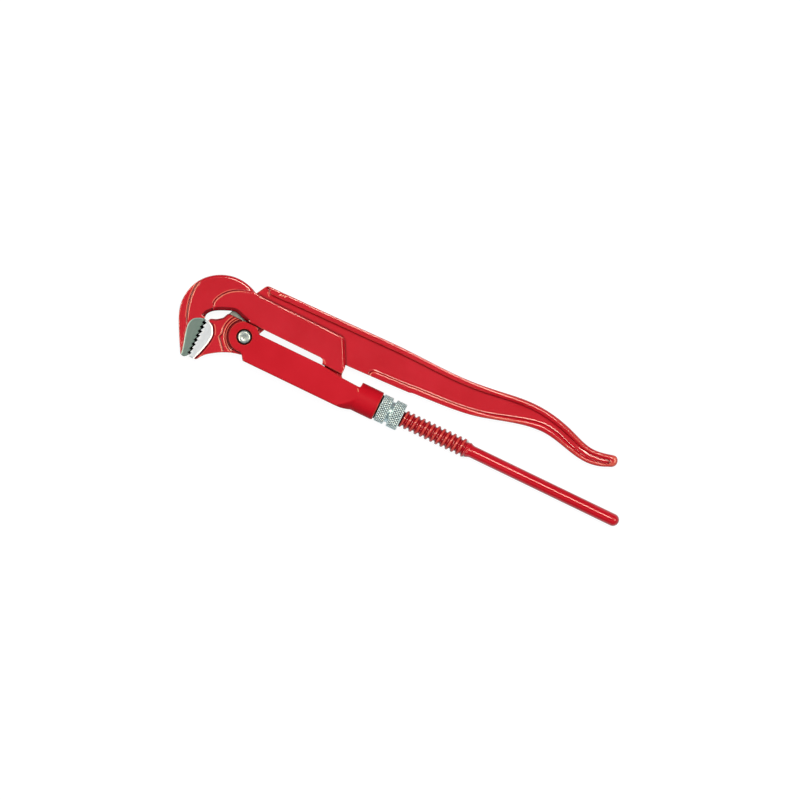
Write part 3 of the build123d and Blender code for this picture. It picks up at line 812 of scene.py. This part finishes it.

# %% [markdown]
# Painted highlights and painted shade follow the same rules as on the hook, with painted lines
# along the rings. The number kept as ground is below 0 on the bare face and on the bare neck,
# which is a little darker.

# %% The lever's forging: painted highlights, painted shade, and where the paint is missing
x, y, z = p.T
edges = edge_of(lever.data, p)
# Painted shade along the rounded edge of the jaw's throat.
edges -= 1.2 * ramp(outline_jaw, 2.0, 1.0) * ramp(y, -1.4, -0.6) * ramp(x, -19, -21)
# Painted shade in a band round the bare pad, and a painted highlight line just outside it.
by_pad = (y < -1.5) & (x > -35) & (x < -18)
edges -= np.where(by_pad, 1.5 * ramp(ground, 1.9, 1.3), 0)
edges += np.where(by_pad, bell(ground - 2.4, 0.4) * (0.6 + 0.9 * ramp(y, -10, -9)), 0)
# Painted highlight on the lip of each ring, with painted shade just inside it.
for lip, inside in ((radius - 15.9, 1.0), (radius - 17.7, 1.0), (third, 1.3)):
    lines = inside * bell(lip, 0.4) - bell(lip + 0.85, 0.4)
    edges += np.where(near_boss & (outline_jaw > 1.0), 1.2 * lines, 0)
# Less painted highlight along the front of the upper flange.
edges = np.where((y > 43) & (x < 190), np.minimum(edges, 0.55), edges)
# Painted highlights on the three marks.
for mark in MARKS:
    edges += 1.4 * at_mark(p, *mark)
# A painted highlight streak at the front corner of the pocket.
edges += painted_streak((1.3, 43.8), (3.9, 41.2), p, 2)
edges[teeth_zone | (ground < 0.1)] = 0
neck_loop = np.array([(-24, 12.3), (-24, 19), (-4, 19), (-4, 12.3)])
neck = beyond_line(np.vstack([neck_loop, neck_loop[:1]]), neck_loop, p)
neck = np.where(np.abs(z) < 3.2, neck, 9)
dress(lever, lever_finish, "lever_body", "lever", ground=np.minimum(ground, neck),
      neck=(neck < 0.3) * 1.0, edge=edges)

# %% [markdown]
# ### The housing
# The housing is a forged trough with two ears at the front for the pivot pin, and a sleeve at
# the back that the screw runs through.

# %% The housing's forging
housing = new_piece("housing_forging", copy_of("housing"))
p = regrid(housing)
p = rub(housing.data, p, 5)
edges = edge_of(housing.data, p)
# A painted highlight streak where the trough meets the sleeve.
edges += painted_streak((108.3, 2.3), (109.8, 0.5), p, 6)
dress(housing, red, "housing_body", "housing", edge=edges)

# %% [markdown]
# ## Turned pieces
# The screw, the nut and the pin are made on a lathe, so each starts as a profile that is spun
# round its axis. The thread and the knurl are then rolled into its surface.

# %% Spin a profile
def spin(profile, axis, around, name):
    """Spins rows of distance along the axis and radius. Axis is x for the screw, z for pins."""
    turns = np.arange(around) / around * 2 * math.pi
    points = np.vstack([np.stack([np.full(around, along), radius * np.cos(turns),
                                  radius * np.sin(turns)], 1) for along, radius in profile])
    faces, last = [], (len(profile) - 1) * around
    for first in range(0, last, around):
        for j in range(around):
            k = (j + 1) % around
            faces.append((first + j, first + k, first + around + k, first + around + j))
    faces += [range(around), range(last, last + around)]
    if axis == "z":
        points = points[:, (1, 2, 0)]
    mesh = bpy.data.meshes.new(name)
    mesh.from_pydata(points.tolist(), [], faces)
    with opened(mesh) as work:
        bmesh.ops.recalc_face_normals(work, faces=work.faces)
    return mesh


def trim(mesh, corner, outward):
    """Cuts away what lies beyond a plane, and closes the cut."""
    with opened(mesh) as work:
        bmesh.ops.bisect_plane(work, geom=work.verts[:] + work.edges[:] + work.faces[:],
                               plane_co=corner, plane_no=outward, clear_outer=True)
        bmesh.ops.holes_fill(work, edges=[e for e in work.edges if e.is_boundary])
        bmesh.ops.recalc_face_normals(work, faces=work.faces)


def rounded(corners, radius, steps=3):
    """A profile whose inner corners are rounded by a small radius."""
    given = [np.array(c, float) for c in corners]
    out = [given[0]]
    for before, corner, after in zip(given[:-2], given[1:-1], given[2:]):
        a, b = before - corner, after - corner
        long_a, long_b = np.linalg.norm(a), np.linalg.norm(b)
        reach = min(radius, 0.45 * long_a, 0.45 * long_b)
        start, end = corner + a / long_a * reach, corner + b / long_b * reach
        for t in np.arange(steps + 1) / steps:
            out.append((1 - t) ** 2 * start + 2 * t * (1 - t) * corner + t * t * end)
    return out + [given[-1]]


def filled(profile, step):
    """The profile with more rows, so that no two are further apart than step."""
    out = [profile[0]]
    for a, b in zip(profile[:-1], profile[1:]):
        parts = max(1, math.ceil(abs(b[0] - a[0]) / step))
        out += [a + (b - a) * k / parts for k in range(1, parts + 1)]
    return out


def move_to(mesh, offset):
    """Puts a mesh made in mm round the origin at its place in the frame."""
    set_points(mesh, rows_of(mesh, "co") + offset)


print("lathe ready")

# %% [markdown]
# Geometry Nodes change a mesh by a rule that is drawn with boxes and wires. It moves each point
# of the surface in or out, which is quicker to make than a cut along a helix.

# %% Parts that every rule of Geometry Nodes needs
def start_tree(name, numbers):
    """A Geometry Nodes tree with a mesh in and out, a material and named numbers."""
    tree = bpy.data.node_groups.new(name, "GeometryNodeTree")
    for kind, side in (("Geometry", "INPUT"), ("Geometry", "OUTPUT"), ("Material", "INPUT")):
        tree.interface.new_socket(kind, in_out=side, socket_type="NodeSocket" + kind)
    for label, value in numbers.items():
        socket = tree.interface.new_socket(label, in_out="INPUT", socket_type="NodeSocketFloat")
        socket.default_value = value
    return tree, add(tree, "NodeGroupInput").outputs, partial(calc, tree)


def end_tree(tree, geometry, given):
    """Every tree ends in plain mesh with its material."""
    whole = add(tree, "GeometryNodeRealizeInstances", {0: geometry}).outputs[0]
    made = add(tree, "GeometryNodeSetMaterial", {"Geometry": whole, "Material": given["Material"]})
    add(tree, "NodeGroupOutput", {0: made.outputs[0]})


def polar(tree, sums):
    """Distance along X, radius and angle in turns of each point, round the X axis."""
    position = add(tree, "GeometryNodeInputPosition").outputs[0]
    x, y, z = add(tree, "ShaderNodeSeparateXYZ", {0: position}).outputs
    radius = sums("SQRT", sums("ADD", sums("MULTIPLY", y, y), sums("MULTIPLY", z, z)))
    turn = sums("DIVIDE", sums("ARCTAN2", z, y), 2 * math.pi)
    return x, y, z, radius, turn


def move_radially(tree, geometry, y, z, radius, lift):
    """Moves each point out from the X axis by lift."""
    outward = add(tree, "ShaderNodeCombineXYZ", {1: calc(tree, "DIVIDE", y, radius),
                                                 2: calc(tree, "DIVIDE", z, radius)}).outputs[0]
    offset = add(tree, "ShaderNodeVectorMath", {0: outward, "Scale": lift}, operation="SCALE")
    moved = {"Geometry": geometry, "Offset": offset.outputs[0]}
    return add(tree, "GeometryNodeSetPosition", moved).outputs[0]


def remember(tree, geometry, name, value):
    """Keeps a number on every point, for the material to read."""
    kept = {"Geometry": geometry, "Name": name, "Value": value}
    return add(tree, "GeometryNodeStoreNamedAttribute", kept, data_type="FLOAT",
               domain="POINT").outputs[0]


ease = partial(span, interpolation_type="SMOOTHSTEP")
print("node rules ready")

# %% [markdown]
# The thread is a rounded knuckle form of 5 mm pitch, left-handed. Its rule: a point's angle
# round the axis and its distance along it give its phase on the helix, and a smooth wave of
# the phase lifts it from the root to the crest. The lift fades to nothing at both ends.

# %% The rule that rolls a thread, and how a rule is worked in
PITCH, FADE = 5.0, 2.5
thread_tree, given, sums = start_tree("roll_thread", {"Pitch": PITCH, "Depth": 2.1,
                                                      "Start": 122.0, "End": 216.5})
x, y, z, radius, turn = polar(thread_tree, sums)
from_start = sums("SUBTRACT", x, given["Start"])
phase = sums("ADD", sums("DIVIDE", from_start, given["Pitch"]), turn)
away = sums("ABSOLUTE", sums("SUBTRACT", sums("FRACT", sums("ADD", phase, 0.5)), 0.5))
ridge = ease(thread_tree, away, 0.42, 0.12)
on_thread = sums("MULTIPLY", ease(thread_tree, from_start, 0.0, FADE),
                 ease(thread_tree, sums("SUBTRACT", given["End"], x), 0.0, FADE))
lift = sums("MULTIPLY", sums("MULTIPLY", ridge, given["Depth"]), on_thread)
# Painted highlight along the crests of the thread, and painted shade in its roots.
crest_highlight = sums("MULTIPLY", sums("MULTIPLY_ADD", ridge, 0.85, -0.3), on_thread)
worked = move_radially(thread_tree, given["Geometry"], y, z, radius, lift)
end_tree(thread_tree, remember(thread_tree, worked, "edge", crest_highlight), given)


def roll(piece, tree, finish, **values):
    """Works a tree into a piece. Inputs are set by the identifier of their socket."""
    modifier = piece.modifiers.new(tree.name, "NODES")
    modifier.node_group = tree
    values["Material"] = finish
    for item in tree.interface.items_tree:
        if item.name in values:
            modifier[item.identifier] = values[item.name]
    return finished(piece)


print("thread rule ready")

# %% [markdown]
# The screw's front head, which is hidden in the housing, is forked and holds the hook with a
# cross pin. Behind the thread the screw is a plain round rod that serves as the second handle.

# %% The screw: thread and rod
THREAD_START, THREAD_END, ROD_END = 122.0, 216.5, 362.5
ROOT, CREST, SHANK, ROD = 5.9, 8.0, 5.5, 5.4
end_round = [(ROD_END - ROD + ROD * math.sin(t), max(ROD * math.cos(t), 0.3))
             for t in np.linspace(0.0, math.pi / 2, 14)]
profile = rounded([(96.0, SHANK), (THREAD_START - 0.6, SHANK), (THREAD_START + 0.6, ROOT),
                   (THREAD_END - 0.5, ROOT + 0.1), (THREAD_END + 0.8, ROOT + 1.0),
                   (THREAD_END + 4.2, ROD)] + end_round[:1], 1.0)
profile = [np.array(q) for q in profile[:-1] + end_round]
dense = [q for q in profile if q[0] < THREAD_END + 0.9]
rest = [q for q in profile if q[0] >= THREAD_END + 0.9]
screw = new_piece("screw_thread_and_rod",
                  spin(filled(dense, 0.28) + filled(rest, 4.0), "x", 72, "screw"))
roll(screw, thread_tree, rod_red, Depth=CREST - ROOT, Start=THREAD_START, End=THREAD_END)
move_to(screw.data, (0, AXIS_Y, 0))
dress(screw, rod_red, "hook_body", "spindle")

# %% The screw: forked head
head = new_piece("screw_fork", copy_of("spindle"))
trim(head.data, place([[97.0, 0, 0]])[0], (1, 0, 0))
dress(head, red, "hook_body", smooth=False)

# %% [markdown]
# ## The adjusting nut
# The nut has two knurled collars with a turned groove between them. A diamond knurl is made by
# two wheels that press crossing grooves, so the rule is the deeper of two helical waves. The
# collar's surface is a fine grid, and the waves press the grooves into it. The knurl stops
# short of the rounded ends.

# %% The rule that presses a diamond knurl
# Both waves are 0 in the middle of a diamond and 0.5 in the grooves that part it from the next.
NUT_R = 12.4
knurl_tree, given, sums = start_tree("press_knurl", {"Around": 32.0, "Slope": 0.36,
                                                     "Depth": 0.55, "Outer": NUT_R})
x, y, z, radius, turn = polar(knurl_tree, sums)
waves = []
for sign in (1.0, -1.0):
    lean = sums("MULTIPLY", x, sums("MULTIPLY", given["Slope"], sign))
    wave = sums("ADD", sums("MULTIPLY", turn, given["Around"]), lean)
    waves.append(sums("ABSOLUTE", sums("SUBTRACT", sums("FRACT", wave), 0.5)))
groove = ease(knurl_tree, sums("MULTIPLY", sums("MAXIMUM", *waves), 2.0), 0.3, 0.95)
on_top = ease(knurl_tree, sums("SUBTRACT", radius, given["Outer"]), -0.35, -0.02)
depth = sums("MULTIPLY", groove, on_top)
lift = sums("MULTIPLY", depth, sums("MULTIPLY", given["Depth"], -1.0))
# The depth of the grooves is kept on the points for painted shade in them.
marked = remember(knurl_tree, given["Geometry"], "pressed", depth)
end_tree(knurl_tree, move_radially(knurl_tree, marked, y, z, radius, lift), given)
print("knurl rule ready")

# %% [markdown]
# The collars' ends are rounded for the hand. The groove between them is left as the lathe cut
# it, so its faces get the bright turned finish.

# %% The nut with its two collars
CORE_R, BORE_R, BRIGHT_FROM, BRIGHT_TO = 9.5, 8.3, 8.6, 11.2
nut_start = (NUT_LOW.x - PIVOT.x) / MM
FRONT, GROOVE, BACK = 8.7, 3.0, 9.7
SECOND, LENGTH = FRONT + GROOVE, FRONT + GROOVE + BACK
outer = rounded([(0, BORE_R), (0, NUT_R), (FRONT, NUT_R), (FRONT, CORE_R), (SECOND, CORE_R),
                 (SECOND, NUT_R), (LENGTH, NUT_R), (LENGTH, BORE_R)], 1.0, 4)
nut = new_piece("knurled_nut", spin(filled(outer, 0.24), "x", 384, "nut"))
roll(nut, knurl_tree, zinc)
move_to(nut.data, (nut_start, AXIS_Y, 0))
dress(nut, zinc, "nut_body", "adjusting_nut")
nut.data.materials.append(turned)
for face in nut.data.polygons:
    middle = from_pivot([face.center])[0]
    if BRIGHT_FROM < math.hypot(middle[1] - AXIS_Y, middle[2]) < BRIGHT_TO:
        face.material_index = 1

# %% [markdown]
# ## The teeth
# The teeth of both jaws have the same pitch. They lean opposite ways, so that they bite when
# the wrench is turned and let go when it is turned back. Each tooth is a prism with a tiny
# flat on its tip. Geometry Nodes place nine copies down the row, and shrink them towards the
# end where the row of the lower jaw tapers.

# %% The rule that sets out a row of teeth
TOOTH_PITCH = 4.17
tooth_tree, given, sums = start_tree("row_of_teeth",
                                     {"Count": 9.0, "Pitch": TOOTH_PITCH, "Last": 1.0})
step = add(tooth_tree, "ShaderNodeCombineXYZ", {1: sums("MULTIPLY", given["Pitch"], -1.0)})
row = add(tooth_tree, "GeometryNodeMeshLine", {"Count": given["Count"], "Offset": step.outputs[0]},
          mode="OFFSET")
number = add(tooth_tree, "GeometryNodeInputIndex").outputs[0]
share = sums("DIVIDE", number, sums("SUBTRACT", given["Count"], 1.0))
shrink = sums("MULTIPLY_ADD", share, sums("SUBTRACT", given["Last"], 1.0), 1.0)
size = add(tooth_tree, "ShaderNodeCombineXYZ", {0: shrink, 1: 1.0, 2: 1.0}).outputs[0]
copies = add(tooth_tree, "GeometryNodeInstanceOnPoints",
             {"Points": row.outputs[0], "Instance": given["Geometry"], "Scale": size})
end_tree(tooth_tree, copies.outputs[0], given)


def prism(corners, half):
    """A bar with this outline, as long as the jaw is thick."""
    count = len(corners)
    points = [(x, y, z) for z in (-half, half) for x, y in corners]
    sides = [(i, (i + 1) % count, count + (i + 1) % count, count + i) for i in range(count)]
    mesh = bpy.data.meshes.new("tooth")
    mesh.from_pydata(points, [], [range(count), range(count, 2 * count), *sides])
    with opened(mesh) as work:
        bmesh.ops.recalc_face_normals(work, faces=work.faces)
    return mesh


print("rule of teeth ready")

# %% [markdown]
# A cut closes each row where its jaw ends, and the lower jaw's row also at its sloping top.

# %% The hook's teeth, and the lower jaw's
HOOK_ROW, ROW_END = TOOTH_PITCH - 4.7, -36.2
tooth = [(-2.6, 0.0), (-1.9, 0.0), (-0.05, -0.38), (0.0, -0.45), (-0.05, -0.58),
         (-1.9, -TOOTH_PITCH), (-2.6, -TOOTH_PITCH)]
hook_teeth = new_piece("hook_teeth", prism(tooth, 7.03))
roll(hook_teeth, tooth_tree, hard_jaw)
trim(hook_teeth.data, (-0.9, ROW_END, 0), (0.35, -0.94, 0))
move_to(hook_teeth.data, (HOOK_TIPS, HOOK_ROW, 0))
dress(hook_teeth, hard_jaw, "hook_body", smooth=False)
tooth = [(2.9, 0.0), (2.5, 0.0), (0.05, 0.38), (0.0, 0.45), (0.05, 0.58), (2.5, TOOTH_PITCH),
         (2.9, TOOTH_PITCH)]
jaw_teeth = new_piece("jaw_teeth", prism(tooth, 8.23))
roll(jaw_teeth, tooth_tree, ground_jaw, Last=0.56)
trim(jaw_teeth.data, (0, 0.6, 0), (-0.646, 0.763, 0))
trim(jaw_teeth.data, (0, ROW_END - LEVER_ROW, 0), (0, -1, 0))
move_to(jaw_teeth.data, (LEVER_TIPS, LEVER_ROW, 0))
dress(jaw_teeth, ground_jaw, "lever_body", smooth=False)

# %% [markdown]
# ## The pins and the washer
# The pivot pin is a headed pin that is riveted over in the recess of each ear. The cross pins
# and the washer keep their own solids, which are already right.

# %% The pivot pin
pin_half = (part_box("pivot_pin")[1].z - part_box("pivot_pin")[0].z) / 2 / MM
side = rounded([(0, 5.0), (10.9, 5.0), (10.95, 6.25), (pin_half - 1.2, 6.3),
                (pin_half - 0.25, 4.9), (pin_half - 0.02, 4.2), (pin_half, 3.3),
                (pin_half - 0.12, 2.2), (pin_half - 0.18, 1.4), (pin_half - 0.18, 0.3)], 0.35)
both = [np.array((-q[0], q[1])) for q in reversed(side)] + [np.array(q) for q in side[1:]]
pin = new_piece("pivot_pin_riveted", spin(both, "z", 96, "pin"))
move_to(pin.data, (0, 0, 0))
radius = np.hypot(*points_of(pin.data)[:, :2].T)
# Painted shade: dark in the dimple at the centre and on the chamfer round the head.
pin_shade = (0.58 * ramp(radius, 2.6, 1.8) + 0.56 * ramp(radius, 4.7, 5.0)
        + 0.5 * ramp(radius, 5.5, 6.0))
dress(pin, polished, "housing_body", "pivot_pin", pressed=pin_shade)

# %% The washer and the cross pins
for node, finish in (("thrust_washer", black), ("head_pin", polished), ("stop_pin", zinc)):
    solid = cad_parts[node]
    solid.data.materials.clear()
    solid.data.materials.append(finish)
    print(node, "keeps its solid")

# %% [markdown]
# Last, colours are shown as they are, without a film look.

# %% Finish
scene.view_settings.view_transform = "Standard"
